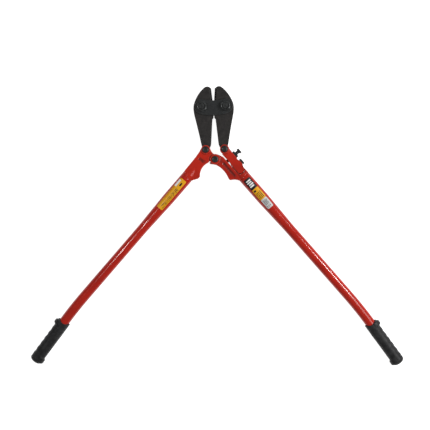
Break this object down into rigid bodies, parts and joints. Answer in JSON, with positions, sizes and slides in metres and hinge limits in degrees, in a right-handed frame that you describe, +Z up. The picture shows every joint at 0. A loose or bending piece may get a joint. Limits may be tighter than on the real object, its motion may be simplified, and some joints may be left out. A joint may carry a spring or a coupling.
{
  "type": "bolt cutters",
  "caption": "Long-handled bolt cutters with compound-lever jaws, an adjusting link, painted tube handles and rubber grips, lying flat with the handles part open.",
  "frame": {"origin": "on the axis of the centre handle pin, in the plane that the tool lies on", "axes": "+Y towards the jaw tips, +X towards the handle with the adjusting link, +Z up out of the plane that the tool lies on"},
  "size_m": [1.0208, 0.7695, 0.043],
  "materials": {
    "forged_steel": "drop-forged steel with a dark heat-treated finish",
    "black_oxide": "black oxide fasteners",
    "red_paint": "gloss orange-red enamel",
    "grip_rubber": "moulded black rubber with fine cross ribs",
    "yellow_label": "printed sticker, yellow",
    "black_label": "printed sticker, black",
    "white_label": "printed sticker, white"
  },
  "bodies": {
    "head": {"front_plate": "forged_steel", "rear_plate": "forged_steel", "left_jaw_bolt": "black_oxide", "right_jaw_bolt": "black_oxide", "left_jaw_washer": "black_oxide", "right_jaw_washer": "black_oxide", "left_jaw_nut": "black_oxide", "right_jaw_nut": "black_oxide"},
    "left_jaw": {"left_jaw": "forged_steel"},
    "right_jaw": {"right_jaw": "forged_steel"},
    "centre": {"centre_pin": "black_oxide", "centre_collar": "black_oxide"},
    "left_handle": {"left_fork": "red_paint", "left_tail_pin": "black_oxide", "left_tail_collar": "black_oxide", "left_tube": "red_paint", "left_grip": "grip_rubber", "left_label": "yellow_label"},
    "right_handle": {"right_arm": "red_paint", "right_tube": "red_paint", "right_grip": "grip_rubber", "right_label_black": "black_label", "right_label_yellow": "yellow_label", "right_label_white": "white_label"},
    "link": {"adjusting_link": "red_paint", "right_tail_pin": "black_oxide", "right_tail_collar": "black_oxide", "clamp_bolt": "black_oxide"},
    "adjuster": {"adjusting_bolt": "black_oxide"},
    "lock_nut": {"lock_nut": "black_oxide"}
  },
  "joints": [
    {"name": "left_handle_swing", "type": "hinge", "parent": "centre", "child": "left_handle", "pos_m": [0, 0, 0.02], "axis": [0, 0, 1], "range_deg": [-8, 38]},
    {"name": "right_handle_swing", "type": "hinge", "parent": "centre", "child": "right_handle", "pos_m": [0, 0, 0.02], "axis": [0, 0, 1], "range_deg": [-38, 8]},
    {"name": "left_jaw_turn", "type": "hinge", "parent": "head", "child": "left_jaw", "pos_m": [-0.03601, 0.14468, 0.02], "axis": [0, 0, 1], "range_deg": [-6.28, 1.33]},
    {"name": "right_jaw_turn", "type": "hinge", "parent": "head", "child": "right_jaw", "pos_m": [0.02896, 0.14661, 0.02], "axis": [0, 0, 1], "range_deg": [-1.24, 5.84]},
    {"name": "centre_rise", "type": "slide", "parent": "head", "child": "centre", "axis": [-0.0297, 0.9996, 0], "range_m": [-0.0044, 0.0208]},
    {"name": "adjusting_bolt_turn", "type": "hinge", "parent": "right_handle", "child": "adjuster", "pos_m": [0.03291, -0.00585, 0.02], "axis": [0.7547, 0.6561, 0], "range_deg": [-90, 90]},
    {"name": "link_tilt", "type": "hinge", "parent": "right_handle", "child": "link", "pos_m": [0.06876, -0.02834, 0.02], "axis": [0, 0, 1], "range_deg": [-0.45, 0.45]},
    {"name": "lock_nut_turn", "type": "hinge", "parent": "link", "child": "lock_nut", "pos_m": [0.05291, 0.01154, 0.02], "axis": [0.7547, 0.6561, 0], "range_deg": [-180, 180]}
  ],
  "couplings": [
    {"joint": "right_handle_swing", "follows": "left_handle_swing", "ratio": -1},
    {"joint": "left_jaw_turn", "follows": "left_handle_swing", "ratio": -0.165},
    {"joint": "right_jaw_turn", "follows": "left_handle_swing", "ratio": 0.1534},
    {"joint": "centre_rise", "follows": "left_handle_swing", "m_per_rad": 0.0312},
    {"joint": "link_tilt", "follows": "adjusting_bolt_turn", "ratio": 0.005}
  ]
}
